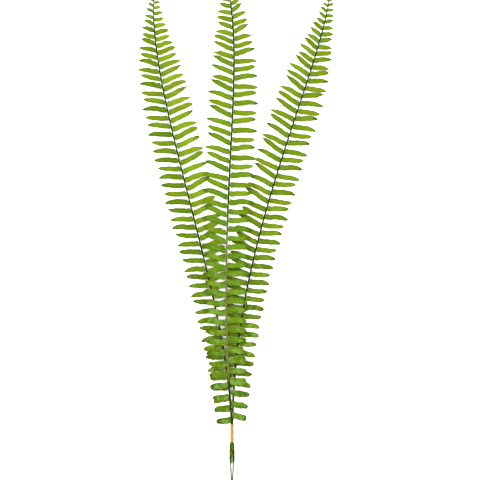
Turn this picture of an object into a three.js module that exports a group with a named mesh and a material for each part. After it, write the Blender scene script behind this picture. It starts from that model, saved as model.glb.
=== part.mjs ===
// A tied bunch of three sword-fern fronds lying flat on the ground.
// Millimetres, +Z up, +Y from the cut stems towards the frond tips.
// A frond is a midrib with a row of leaflets down each side. Leaflets are made in runs: neighbours hang
// on one narrow root strip that lies beside the midrib.
import * as THREE from "three";

// Midribs and stems
const frondHeight = 608; // shortest frond, along +Y from the tape to its tip
const stemRadius = 0.95; // half thickness of a stem at the tie
const tipRadius = 0.6; // half thickness of a midrib at its end
const touchGap = 0.3; // clearance between two pieces that touch on the plant
const cutLength = 70; // bare stem below the tape
const stemSplay = 0.7; // how far the outer stems bow apart below the basal leaflets
const partLength = 26; // stretch below the tape in which they part
const closeStart = 34; // where they begin to close again, below the tape
const closeLength = 18;
const stemSides = 6;
const stemStep = 16; // spacing of the cross-sections, and half of it below the tape

// Tape round the three stems
const tapeWidth = 25;
const tapeWall = 0.4;
const tapeGap = 0.25;

// Leaflets
const leafletLength = 35; // longest leaflets, from the middle of the midrib
const leafletWidth = 8;
const leafletPitch = 12; // spacing along one side of the midrib
const leafletThickness = 0.5;
const unevenShare = 0.61; // part of the slot between two leaflets that uneven growth may take up
const stripWidth = 0.7; // root strip that joins the leaflets of a run
const runsPerSide = 8;
const bareInside = 55; // midrib without leaflets on the side where two stems touch
const tipBare = 4; // midrib past the last leaflet

// How the fronds lie on each other
const lowestMidrib = 3.2; // midrib height of the undermost frond
const layerSlack = 0.3; // room left between two layers of leaflets
const layeredSway = 0.4; // how far a leaflet leaves its plane where fronds overlap
const freeSway = 1.5; // the same where a frond lies alone
const riseLength = 62; // stretch above the tape in which the midribs reach their layers
const settleLength = 120; // stretch in which a frond comes down to lie alone
const aloneHeight = 5; // midrib height of a frond that lies alone
const tipHeight = 1.3;

// Small basal leaflets pressed to the stems under the tape
const pressedLength = 29;
const pressedPitch = 4.2;
const pressedThickness = 1.3;
const pressedEdge = 0.45;

// Shape of a frond, by share of the way from the tape to the tip
const pitchShape = [[0, 1.4], [0.12, 1.2], [0.3, 1], [0.65, 1.04], [0.8, 0.88], [0.92, 0.76], [1, 0.5]];
const lengthShape = [
  [0, 0.57], [0.07, 0.7], [0.18, 0.81], [0.4, 0.94], [0.5, 1], [0.72, 1],
  [0.8, 0.89], [0.84, 0.77], [0.87, 0.64], [0.92, 0.42], [1, 0.11],
];
const widthShape = [[0, 1.3], [0.12, 1.2], [0.3, 1.03], [0.75, 0.97], [0.9, 0.88], [0.96, 0.6], [1, 0.3]];
const angleShape = [[0, 99], [0.08, 97], [0.22, 88], [0.4, 80], [0.72, 77], [0.85, 68], [1, 60]];

// Height is along +Y from the tape, reach and pulls are sideways. A pull bends the midrib there.
// Open turns a whole side's leaflets away from the tip by so many degrees, and tipOpen the upper ones.
const fronds = [
  {
    name: "right_frond", layer: 0, seat: 1, height: frondHeight, reach: 138,
    lowPull: 1.4, lowShare: 0.43, highPull: 125, highShare: 0.8,
    pitchScale: 0.97, firstLeaflet: { left: bareInside, right: 11.5 },
    open: { left: 0, right: 0 }, tipOpen: { left: 2, right: 8 },
    fullness: { left: 1.06, right: 0.95 },
  },
  {
    name: "left_frond", layer: 1, seat: -1, height: frondHeight + 4, reach: -107,
    lowPull: -2, lowShare: 0.29, highPull: -130, highShare: 0.8,
    pitchScale: 0.98, firstLeaflet: { left: 5, right: bareInside + 6 },
    open: { left: -3, right: 3 }, tipOpen: { left: 6, right: 14 },
    fullness: { left: 1, right: 1.06 },
  },
  {
    name: "centre_frond", layer: 2, seat: 0, height: frondHeight + 37, reach: -15,
    lowPull: -28, lowShare: 0.495, highPull: 30, highShare: 0.8,
    pitchScale: 1.02, firstLeaflet: { left: 6, right: 12.5 },
    open: { left: -5, right: 8 }, tipOpen: { left: 14, right: -10 },
    fullness: { left: 1.05, right: 0.99 },
  },
];

// Values that follow from those above
const stemSpacing = 2 * stemRadius + touchGap;
const lowSeat = tapeWall + tapeGap + stemRadius; // height of the two lower stems in the tape
const highSeat = lowSeat + stemSpacing * Math.sin(Math.PI / 3);
const layerStep = stemRadius + leafletThickness / 2 + 2 * layeredSway + 2 * layerSlack + 0.4;
const groundHeight = leafletThickness / 2;
const stripOffset = stemRadius + touchGap + stripWidth; // midrib middle to where leaflets start
const unevenTurn = (unevenShare * (leafletPitch - leafletWidth)) / leafletLength; // in radians

const leafColor = 0x78a026;
const darkLeafColor = 0x4f7020;
const stemColor = 0x5a5a2a;
const tapeColor = 0xd8b97c;

// Value of a shape, read in straight lines between its points.
function readShape(shape, share) {
  const next = Math.max(1, shape.findIndex((point) => point[0] >= share));
  const [x0, y0] = shape[next - 1];
  const [x1, y1] = shape[next];
  return y0 + (y1 - y0) * THREE.MathUtils.clamp((share - x0) / (x1 - x0), 0, 1);
}

// An uneven number from -1 to 1 that differs from leaflet to leaflet and is the same on every build.
function uneven(index, seed) {
  return 0.6 * Math.sin(2.3 * index + 1.7 * seed) + 0.4 * Math.sin(4.1 * index + 2.9 * seed + 1);
}

// Plan of one midrib above the tape.
function midribPlan(frond) {
  return new THREE.CubicBezierCurve3(
    new THREE.Vector3((frond.seat * stemSpacing) / 2, 0, 0),
    new THREE.Vector3(frond.lowPull, frond.height * frond.lowShare, 0),
    new THREE.Vector3(frond.highPull, frond.height * frond.highShare, 0),
    new THREE.Vector3(frond.reach, frond.height, 0),
  );
}

for (const frond of fronds) {
  frond.plan = midribPlan(frond);
  frond.length = frond.plan.getLength();
}

// Height along +Y at which no leaflet of two fronds can meet any more.
function partingHeight(sideFrond, centreFrond) {
  const fullest = Math.max(...fronds.flatMap((frond) => Object.values(frond.fullness)));
  const reachOfTwo = 2 * leafletLength * fullest + touchGap;
  for (let share = 0; share < 1; share += 0.01) {
    const at = sideFrond.plan.getPointAt(share);
    const other = centreFrond.plan.getPointAt(share);
    if (Math.abs(at.x - other.x) > reachOfTwo) return at.y;
  }
  return sideFrond.height;
}

const [rightFrond, leftFrond, centreFrond] = fronds;
const parting = Math.max(partingHeight(rightFrond, centreFrond), partingHeight(leftFrond, centreFrond));

// How much a frond lies alone at this height along +Y: 0 where fronds overlap, 1 past the settling stretch.
function aloneShare(y) {
  return THREE.MathUtils.smoothstep(y, parting, parting + settleLength);
}

// Height of the midrib's middle above the ground at a distance from the tape.
function midribHeight(frond, at, y) {
  const seatHeight = frond.seat === 0 ? highSeat : lowSeat;
  const layerHeight = lowestMidrib + frond.layer * layerStep;
  const risen = THREE.MathUtils.smoothstep(at, 0, riseLength);
  const layered = THREE.MathUtils.lerp(seatHeight, layerHeight, risen);
  const settled = THREE.MathUtils.lerp(layered, aloneHeight, aloneShare(y));
  const nearTip = THREE.MathUtils.smoothstep(at / frond.length, 0.72, 1);
  return THREE.MathUtils.lerp(settled, tipHeight, nearTip);
}

// Middle of the stem or midrib. Distances below zero run down through the tape to the cut end.
function midribPoint(frond, at) {
  if (at >= 0) {
    const point = frond.plan.getPointAt(Math.min(at / frond.length, 1));
    point.z = midribHeight(frond, at, point.y);
    return point;
  }
  // the centre stem comes to lie on the left one as the outer stems part
  const below = -at - tapeWidth;
  const parted = THREE.MathUtils.smoothstep(below, 0, partLength);
  const closed = THREE.MathUtils.smoothstep(below, closeStart, closeStart + closeLength);
  const side = frond.seat === 0 ? -1 : frond.seat;
  const splay = side * stemSplay * (parted - 0.9 * closed);
  const x = THREE.MathUtils.lerp(frond.seat, side, parted) * stemSpacing / 2 + splay;
  const seatHeight = frond.seat === 0 ? highSeat : lowSeat;
  const lift = frond.seat === 0 ? lowSeat + stemSpacing + touchGap - highSeat : 0;
  return new THREE.Vector3(x, at, seatHeight + lift * parted);
}

function midribDirection(frond, at) {
  const step = 0.5;
  const from = Math.min(at, frond.length - step);
  return midribPoint(frond, from + step).sub(midribPoint(frond, from - step)).normalize();
}

function midribRadius(frond, at) {
  const share = THREE.MathUtils.clamp(at / frond.length, 0, 1);
  return THREE.MathUtils.lerp(stemRadius, tipRadius, share * share);
}

// Closed geometry from corner points and triangles, with its faces turned outwards.
function closedGeometry(points, triangles) {
  let volume = 0;
  for (const [a, b, c] of triangles) {
    volume += points[a].dot(new THREE.Vector3().crossVectors(points[b], points[c]));
  }
  const turned = volume > 0 ? triangles : triangles.map(([a, b, c]) => [a, c, b]);
  const geometry = new THREE.BufferGeometry().setFromPoints(points);
  geometry.setIndex(turned.flat());
  geometry.computeVertexNormals();
  return geometry;
}

function quad(a, b, c, d) {
  return [[a, b, c], [a, c, d]];
}

// Skin over rings of equally many points, closed at both ends.
function loft(rings) {
  const count = rings[0].length;
  const triangles = [];
  for (let ring = 0; ring + 1 < rings.length; ring += 1) {
    for (let corner = 0; corner < count; corner += 1) {
      const here = ring * count + corner;
      const beside = ring * count + ((corner + 1) % count);
      triangles.push(...quad(here, beside, beside + count, here + count));
    }
  }
  const last = (rings.length - 1) * count;
  for (let corner = 1; corner + 1 < count; corner += 1) {
    triangles.push([0, corner + 1, corner], [last, last + corner, last + corner + 1]);
  }
  return closedGeometry(rings.flat(), triangles);
}

function addPiece(group, name, geometry, color, roughness) {
  const material = new THREE.MeshStandardMaterial({ color, roughness, metalness: 0 });
  const mesh = new THREE.Mesh(geometry, material);
  mesh.name = name;
  group.add(mesh);
}

// Distances of the cross-sections from the tape, with one at each end of the tape.
function sectionDistances(frond) {
  const ends = [-tapeWidth - cutLength, -tapeWidth, 0, frond.length];
  const distances = [ends[0]];
  for (let stretch = 0; stretch + 1 < ends.length; stretch += 1) {
    const step = stretch === 0 ? stemStep / 2 : stemStep;
    const steps = Math.ceil((ends[stretch + 1] - ends[stretch]) / step);
    for (let taken = 1; taken <= steps; taken += 1) {
      distances.push(THREE.MathUtils.lerp(ends[stretch], ends[stretch + 1], taken / steps));
    }
  }
  return distances;
}

// Stem and midrib in one, from the cut end to the frond tip.
function midribGeometry(frond) {
  const rings = [];
  for (const at of sectionDistances(frond)) {
    const middle = midribPoint(frond, at);
    const forward = midribDirection(frond, at);
    const across = new THREE.Vector3(0, 0, 1).cross(forward).normalize();
    const up = new THREE.Vector3().crossVectors(forward, across);
    const radius = midribRadius(frond, at);
    const ring = [];
    for (let side = 0; side < stemSides; side += 1) {
      const turn = (2 * Math.PI * side) / stemSides;
      ring.push(
        middle.clone()
          .addScaledVector(across, radius * Math.cos(turn))
          .addScaledVector(up, radius * Math.sin(turn)),
      );
    }
    rings.push(ring);
  }
  return loft(rings);
}

// Outline round the three stems: an arc about each stem, joined by straight sides.
function bundleOutline(target, radius) {
  const seats = [[-stemSpacing / 2, lowSeat], [stemSpacing / 2, lowSeat], [0, highSeat]];
  const third = (2 * Math.PI) / 3;
  seats.forEach(([x, z], index) => {
    const start = (5 * Math.PI) / 6 + index * third;
    target.absarc(x, z, radius, start, start + third, false);
  });
  target.closePath();
  return target;
}

function tapeGeometry() {
  const outline = bundleOutline(new THREE.Shape(), stemRadius + tapeGap + tapeWall);
  outline.holes.push(bundleOutline(new THREE.Path(), stemRadius + tapeGap));
  const geometry = new THREE.ExtrudeGeometry(outline, {
    depth: tapeWidth, curveSegments: 4, bevelEnabled: false,
  });
  return geometry.rotateX(Math.PI / 2);
}

// Everything that places one leaflet: where it starts, where it points and how it lies.
function leafletPlacement(frond, side, index, at) {
  const sign = side === "left" ? -1 : 1;
  const seed = frond.layer * 2 + (side === "left" ? 0 : 1);
  const share = at / frond.length;
  const middle = midribPoint(frond, at);
  const forward = midribDirection(frond, at).setZ(0).normalize();
  const outward = new THREE.Vector3(forward.y * sign, -forward.x * sign, 0);
  const alone = aloneShare(middle.y);
  const opened = frond.open[side] + frond.tipOpen[side] * THREE.MathUtils.smoothstep(share, 0.75, 0.95);
  const evenAngle = THREE.MathUtils.degToRad(readShape(angleShape, share) + opened);
  const angle = evenAngle + unevenTurn * uneven(index, seed);
  const along = new THREE.Vector3()
    .addScaledVector(forward, Math.cos(angle))
    .addScaledVector(outward, Math.sin(angle));
  const fullLength = leafletLength * frond.fullness[side] * readShape(lengthShape, share);
  const length = fullLength * (1 + 0.05 * uneven(index, seed + 7));
  const width = leafletWidth * readShape(widthShape, share) * (1 + 0.06 * uneven(index, seed + 3));

  // only a leaflet with another frond under it keeps to its layer; the rest hang to the ground
  const overAnother = frond.layer === 2 || (frond.layer === 1 && side === "right");
  const reachesGround = overAnother ? alone : 1;
  const curl = 2.2 * alone * Math.max(0, uneven(index, seed + 11)) ** 2;
  const hang = Math.min(middle.z - groundHeight, 0.2 * length);
  const layeredTip = middle.z - layeredSway * 1.5;
  const tipZ = THREE.MathUtils.lerp(layeredTip, middle.z - hang + curl, reachesGround);
  const sway = THREE.MathUtils.lerp(layeredSway, freeSway, alone * Math.min(1, length / leafletLength));
  return {
    middle, forward, outward, along, length, width, tipZ,
    across: new THREE.Vector3(-along.y * sign, along.x * sign, 0),
    bow: unevenTurn * length * uneven(index, seed + 5),
    lift: sway * 0.5 * uneven(index, seed + 9),
    twist: Math.asin(THREE.MathUtils.clamp((sway * uneven(index, seed + 13)) / (width / 2), -0.6, 0.6)),
  };
}

// Four corners of a leaflet at a share of its length: near and far edge, under and upper side.
function leafletRing(leaflet, share, nearWidth, farWidth) {
  const blade = leaflet.length - stripOffset;
  const middle = leaflet.middle.clone()
    .addScaledVector(leaflet.outward, stripOffset)
    .addScaledVector(leaflet.along, blade * share)
    .addScaledVector(leaflet.across, leaflet.bow * share * share);
  middle.z += (leaflet.tipZ - leaflet.middle.z) * share * share + leaflet.lift * Math.sin(Math.PI * share);
  // the base runs along the midrib, and further out a section lies square across the blade
  const square = THREE.MathUtils.smoothstep(share, 0, 0.6);
  const flat = leaflet.forward.clone().lerp(leaflet.across, square).normalize();
  const turn = leaflet.twist * share;
  const edge = flat.multiplyScalar(Math.cos(turn)).setZ(Math.sin(turn));
  const corners = [];
  for (const [width, face] of [[-nearWidth, -1], [farWidth, -1], [farWidth, 1], [-nearWidth, 1]]) {
    const corner = middle.clone().addScaledVector(edge, width * leaflet.width);
    corner.z = Math.max(corner.z, groundHeight) + (face * leafletThickness) / 2;
    corners.push(corner);
  }
  return corners;
}

function leafletDistances(frond, side) {
  const distances = [];
  let at = frond.firstLeaflet[side];
  while (at < frond.length - tipBare) {
    distances.push(at);
    at += leafletPitch * frond.pitchScale * readShape(pitchShape, at / frond.length);
  }
  return distances;
}

// One run: a three-cornered root strip along the midrib, with a leaflet growing from it at each station.
function runGeometry(frond, side, placed) {
  const points = [];
  const triangles = [];
  const stations = placed.flatMap(({ at, leaflet }) => {
    const half = 0.32 * leaflet.width;
    return [at - half, at + half];
  });
  for (const at of stations) {
    const middle = midribPoint(frond, at);
    const forward = midribDirection(frond, at);
    const sign = side === "left" ? -1 : 1;
    const outward = new THREE.Vector3(forward.y * sign, -forward.x * sign, 0).normalize();
    const inner = middle.clone().addScaledVector(outward, stemRadius + touchGap);
    const outer = middle.clone().addScaledVector(outward, stripOffset);
    const rise = new THREE.Vector3(0, 0, leafletThickness / 2);
    points.push(inner, outer.clone().sub(rise), outer.clone().add(rise));
  }
  for (let station = 0; station + 1 < stations.length; station += 1) {
    const [inner, low, top] = [0, 1, 2].map((corner) => station * 3 + corner);
    triangles.push(...quad(inner, inner + 3, top + 3, top), ...quad(inner, low, low + 3, inner + 3));
    if (station % 2 === 1) triangles.push(...quad(low, top, top + 3, low + 3));
  }
  const end = (stations.length - 1) * 3;
  triangles.push([0, 2, 1], [end, end + 1, end + 2]);

  placed.forEach(({ leaflet }, index) => {
    const first = index * 6;
    let ring = [first + 1, first + 4, first + 5, first + 2];
    for (const [share, near, far] of [[0.12, 0.45, 0.53], [0.76, 0.42, 0.41]]) {
      const next = leafletRing(leaflet, share, near, far).map((point) => points.push(point) - 1);
      for (let corner = 0; corner < 4; corner += 1) {
        const beside = (corner + 1) % 4;
        const loop = [ring[corner], next[corner], next[beside], ring[beside]];
        // both faces split along the same diagonal, so that they stay apart where a blade twists
        if (corner === 2) loop.push(loop.shift());
        triangles.push(...quad(...loop));
      }
      ring = next;
    }
    const [a, b, c, d] = leafletRing(leaflet, 1, 0, 0);
    const tip = points.push(a.add(b).add(c).add(d).divideScalar(4)) - 1;
    for (let corner = 0; corner < 4; corner += 1) {
      triangles.push([ring[corner], tip, ring[(corner + 1) % 4]]);
    }
  });
  return closedGeometry(points, triangles);
}

function addLeaflets(group, frond, side) {
  const distances = leafletDistances(frond, side);
  const placed = distances.map((at, index) => ({ at, leaflet: leafletPlacement(frond, side, index, at) }));
  for (let run = 0; run < runsPerSide; run += 1) {
    const from = Math.round((run * placed.length) / runsPerSide);
    const to = Math.round(((run + 1) * placed.length) / runsPerSide);
    const name = `${frond.name}_${side}_leaflets_${run + 1}`;
    addPiece(group, name, runGeometry(frond, side, placed.slice(from, to)), leafColor, 0.5);
  }
}

// Overlapping basal leaflets, pressed round the outer side of a stem: a gutter that thickens towards
// each leaflet's tip and steps back to the next one.
function pressedGeometry(frond) {
  const facing = frond.seat === 0 ? Math.PI / 2 : frond.seat < 0 ? Math.PI : 0;
  const halfSpan = frond.seat === 0 ? 1.2 : 0.68;
  const columns = 5;
  const rings = [];
  const count = Math.round(pressedLength / pressedPitch);
  const shares = [];
  for (let leaflet = 0; leaflet < count; leaflet += 1) shares.push([leaflet, 0.25], [leaflet + 0.85, 1]);
  for (const [row, fullness] of shares) {
    const at = -tapeWidth - touchGap - pressedLength + (row * pressedLength) / count;
    const middle = midribPoint(frond, at);
    const ring = [];
    for (const outside of [true, false]) {
      for (let column = 0; column < columns; column += 1) {
        const place = outside ? column : columns - 1 - column;
        const turn = facing + halfSpan * ((2 * place) / (columns - 1) - 1);
        const crown = 1 - ((2 * place) / (columns - 1) - 1) ** 2;
        const thickness = pressedEdge + (pressedThickness - pressedEdge) * crown * fullness;
        const radius = stemRadius / Math.cos(Math.PI / stemSides) + touchGap + (outside ? thickness : 0);
        ring.push(new THREE.Vector3(
          middle.x + radius * Math.cos(turn), at, Math.max(0.05, middle.z + radius * Math.sin(turn)),
        ));
      }
    }
    rings.push(ring);
  }
  return loft(rings);
}

const bunch = new THREE.Group();
for (const frond of fronds) {
  addPiece(bunch, `${frond.name}_midrib`, midribGeometry(frond), stemColor, 0.6);
  addPiece(bunch, `${frond.name}_basal_leaflets`, pressedGeometry(frond), darkLeafColor, 0.55);
  addLeaflets(bunch, frond, "left");
  addLeaflets(bunch, frond, "right");
}
addPiece(bunch, "binding_tape", tapeGeometry(), tapeColor, 0.7);

// The origin is the middle of the bunch's footprint, on the ground.
const box = new THREE.Box3().setFromObject(bunch);
const centre = box.getCenter(new THREE.Vector3());
bunch.position.set(-centre.x, -centre.y, -box.min.z);

export default bunch;
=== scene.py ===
# Tied bunch of three sword-fern fronds, lying flat on a pale table top.
# Growth values are in millimetres from the top edge of the tape, and the meshes are in metres.
import math

import bpy
import numpy as np
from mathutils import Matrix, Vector


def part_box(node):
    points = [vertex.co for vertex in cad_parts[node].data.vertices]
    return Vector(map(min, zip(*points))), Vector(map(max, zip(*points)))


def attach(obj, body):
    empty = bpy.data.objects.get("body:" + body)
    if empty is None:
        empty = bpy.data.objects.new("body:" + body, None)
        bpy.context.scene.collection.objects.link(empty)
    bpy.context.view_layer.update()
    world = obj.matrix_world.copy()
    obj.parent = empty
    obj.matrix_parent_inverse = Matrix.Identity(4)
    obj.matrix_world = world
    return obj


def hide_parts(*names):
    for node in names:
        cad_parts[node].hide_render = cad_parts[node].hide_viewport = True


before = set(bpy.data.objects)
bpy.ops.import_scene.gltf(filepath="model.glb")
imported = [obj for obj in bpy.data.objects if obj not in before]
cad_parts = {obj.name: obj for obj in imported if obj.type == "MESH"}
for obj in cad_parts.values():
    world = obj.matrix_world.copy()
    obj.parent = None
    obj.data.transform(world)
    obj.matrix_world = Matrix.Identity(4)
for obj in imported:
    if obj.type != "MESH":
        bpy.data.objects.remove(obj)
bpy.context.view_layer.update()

tapeLow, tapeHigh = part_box("binding_tape")
tapeTop = np.array([(tapeLow[0] + tapeHigh[0]) / 2, tapeHigh[1], tapeLow[2]])
millimetre = 0.001

# How the three fronds grow and lie. These follow the part's own sizes.
growth = {
    "frondHeight": 608,
    "stemRadius": 0.95,
    "tipRadius": 0.6,
    "touchGap": 0.3,
    "groundClear": 0.03,     # least height over the table
    "cutLength": 70,         # of the stems below the tape
    "stemSplay": 0.7,        # how far the stems bow apart below the tape
    "partLength": 26,        # length over which they bow apart
    "closeStart": 34,        # distance below the tape at which they close again
    "closeLength": 18,       # length over which they close
    "closeShare": 0.9,       # share of the bow that closes
    "tapeWidth": 25,
    "tapeWall": 0.4,
    "tapeGap": 0.25,
    "lowestMidrib": 3.2,     # height of the lowest layer's midrib
    "layerStep": 3.0,        # height from one layer to the next
    "riseLength": 62,        # from the tape to full layer height
    "settleLength": 120,     # over which a frond sinks once it lies alone
    "aloneHeight": 5,
    "droopStart": 0.72,      # share of the length past which a frond sinks to its tip
    "tipHeight": 1.3,
    "leafletLength": 35,
    "girthShape": [[0, 1], [0.03, 1.3], [0.1, 1.4], [0.4, 1.35], [0.7, 1.38], [0.9, 1.42], [1, 1.1]],
}
fronds = [
    {
        "name": "right_frond", "layer": 0, "seat": 1, "height": growth["frondHeight"], "reach": 138,
        "lowPull": 1.4, "lowShare": 0.43, "highPull": 125, "highShare": 0.8,
        "pitchScale": 0.97, "firstLeaflet": {"left": 55, "right": 11.5},
        "open": {"left": 0, "right": 0}, "tipOpen": {"left": 2, "right": 8},
        "fullness": {"left": 1.06, "right": 0.95}, "bluntness": {"left": 1, "right": 1},
        "tint": {"left": 0.44, "right": 0.5}, "girth": 1,
        "tintShape": [[0, -0.4], [0.25, -0.3], [0.45, 0]],
        "warmthShape": [[0, 0.1], [0.5, 0.04], [0.8, 0.16]],
    },
    {
        "name": "left_frond", "layer": 1, "seat": -1, "height": growth["frondHeight"] + 4, "reach": -107,
        "lowPull": -2, "lowShare": 0.29, "highPull": -130, "highShare": 0.8,
        "pitchScale": 0.98, "firstLeaflet": {"left": 5, "right": 61},
        "open": {"left": -3, "right": 3}, "tipOpen": {"left": 6, "right": 14},
        "fullness": {"left": 1, "right": 1.06}, "bluntness": {"left": 0.85, "right": 1.25},
        "tint": {"left": 0.34, "right": 0.72}, "girth": 1,
        "tintShape": [[0, -0.4], [0.25, -0.3], [0.45, 0]],
        "warmthShape": [[0, 0.1], [0.5, 0.04], [0.8, 0.16]],
    },
    {
        "name": "centre_frond", "layer": 2, "seat": 0, "height": growth["frondHeight"] + 37, "reach": -15,
        "lowPull": -28, "lowShare": 0.495, "highPull": 30, "highShare": 0.8,
        "pitchScale": 1.02, "firstLeaflet": {"left": 6, "right": 12.5},
        "open": {"left": -5, "right": 8}, "tipOpen": {"left": 14, "right": -10},
        "fullness": {"left": 1.05, "right": 0.99}, "bluntness": {"left": 0.95, "right": 1.05},
        "tint": {"left": 0.46, "right": 0.54}, "girth": 1.3,
        "tintShape": [[0, -0.45], [0.1, -0.3], [0.2, -0.05], [0.4, 0.05]],
        "warmthShape": [[0, -0.35], [0.35, -0.35], [0.6, 0], [0.85, 0.1]],
    },
]
stemSpacing = 2 * growth["stemRadius"] + growth["touchGap"]
lowSeat = growth["tapeWall"] + growth["tapeGap"] + growth["stemRadius"]
highSeat = lowSeat + stemSpacing * math.sin(math.pi / 3)


def mix(low, high, share):
    return low + (high - low) * share


def smooth(value, low, high):
    share = np.clip((value - low) / (high - low), 0, 1)
    return share * share * (3 - 2 * share)


def readShape(shape, share):
    return float(np.interp(share, [p[0] for p in shape], [p[1] for p in shape]))


def uneven(index, seed):  # a steady number from -1 to 1 that differs from leaflet to leaflet
    return 0.6 * math.sin(2.3 * index + 1.7 * seed) + 0.4 * math.sin(4.1 * index + 2.9 * seed + 1)


def unit(direction):
    return direction / np.linalg.norm(direction)


# Plan of each midrib: one bend line, stepped off by its length
for frond in fronds:
    ends = np.array([
        [frond["seat"] * stemSpacing / 2, 0], [frond["lowPull"], frond["height"] * frond["lowShare"]],
        [frond["highPull"], frond["height"] * frond["highShare"]], [frond["reach"], frond["height"]],
    ])
    way = np.linspace(0, 1, 201)[:, None]
    line = ((1 - way) ** 3 * ends[0] + 3 * (1 - way) ** 2 * way * ends[1]
            + 3 * (1 - way) * way ** 2 * ends[2] + way ** 3 * ends[3])
    steps = np.linalg.norm(np.diff(line, axis=0), axis=1)
    frond["line"], frond["walked"] = line, np.concatenate([[0], np.cumsum(steps)])
    frond["length"] = frond["walked"][-1]


def planPoint(frond, at):
    return np.array([np.interp(at, frond["walked"], frond["line"][:, k]) for k in (0, 1)])


def partingHeight(sideFrond, centreFrond):  # height past which two fronds no longer meet
    fullest = max(max(frond["fullness"].values()) for frond in fronds)
    reachOfTwo = 2 * growth["leafletLength"] * fullest + growth["touchGap"]
    for share in np.arange(0, 1, 0.01):
        here = planPoint(sideFrond, share * sideFrond["length"])
        other = planPoint(centreFrond, share * centreFrond["length"])
        if abs(here[0] - other[0]) > reachOfTwo:
            return here[1]
    return sideFrond["height"]


parting = max(partingHeight(fronds[0], fronds[2]), partingHeight(fronds[1], fronds[2]))


def aloneShare(y):
    return float(smooth(y, parting, parting + growth["settleLength"]))


def midribPoint(frond, at):
    seatHeight = highSeat if frond["seat"] == 0 else lowSeat
    if at < 0:
        below = -at - growth["tapeWidth"]
        parted = smooth(below, 0, growth["partLength"])
        closed = smooth(below, growth["closeStart"], growth["closeStart"] + growth["closeLength"])
        side = frond["seat"] or -1
        splay = growth["stemSplay"] * (parted - growth["closeShare"] * closed)
        x = mix(frond["seat"], side, parted) * stemSpacing / 2 + side * splay
        lift = lowSeat + stemSpacing + growth["touchGap"] - highSeat if frond["seat"] == 0 else 0
        return np.array([x, at, seatHeight + lift * parted])
    x, y = planPoint(frond, at)
    layered = mix(seatHeight, growth["lowestMidrib"] + frond["layer"] * growth["layerStep"],
                  smooth(at, 0, growth["riseLength"]))
    settled = mix(layered, growth["aloneHeight"], aloneShare(y))
    drooped = smooth(at / frond["length"], growth["droopStart"], 1)
    return np.array([x, y, mix(settled, growth["tipHeight"], drooped)])


def midribDirection(frond, at):
    spot = min(at, frond["length"] - 0.5)
    return unit(midribPoint(frond, spot + 0.5) - midribPoint(frond, spot - 0.5))


def midribRadius(frond, at):
    share = np.clip(at / frond["length"], 0, 1)
    girth = 1 + (readShape(growth["girthShape"], share) - 1) * frond["girth"]
    return mix(growth["stemRadius"], growth["tipRadius"], share ** 2) * girth


# Mesh and material helpers
def makePiece(name, points, faces, maps, materials, nodes, faceMaterial=None, crease=50):
    mesh = bpy.data.meshes.new(name)
    mesh.from_pydata((np.asarray(points) * millimetre + tapeTop).tolist(), [], faces)
    corners = np.zeros(len(mesh.loops), np.int32)
    mesh.loops.foreach_get("vertex_index", corners)
    for mapName, values in maps.items():
        layer = mesh.uv_layers.new(name=mapName)
        layer.uv.foreach_set("vector", np.asarray(values, np.float32)[corners].ravel())
    for material in materials:
        mesh.materials.append(material)
    if faceMaterial is not None:
        mesh.polygons.foreach_set("material_index", np.asarray(faceMaterial, np.int32))
    mesh.polygons.foreach_set("use_smooth", np.ones(len(mesh.polygons), bool))
    mesh.set_sharp_from_angle(angle=math.radians(crease))
    mesh.validate()
    mesh.update()
    piece = bpy.data.objects.new(name, mesh)
    bpy.context.scene.collection.objects.link(piece)
    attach(piece, "root")
    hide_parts(*nodes)


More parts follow.
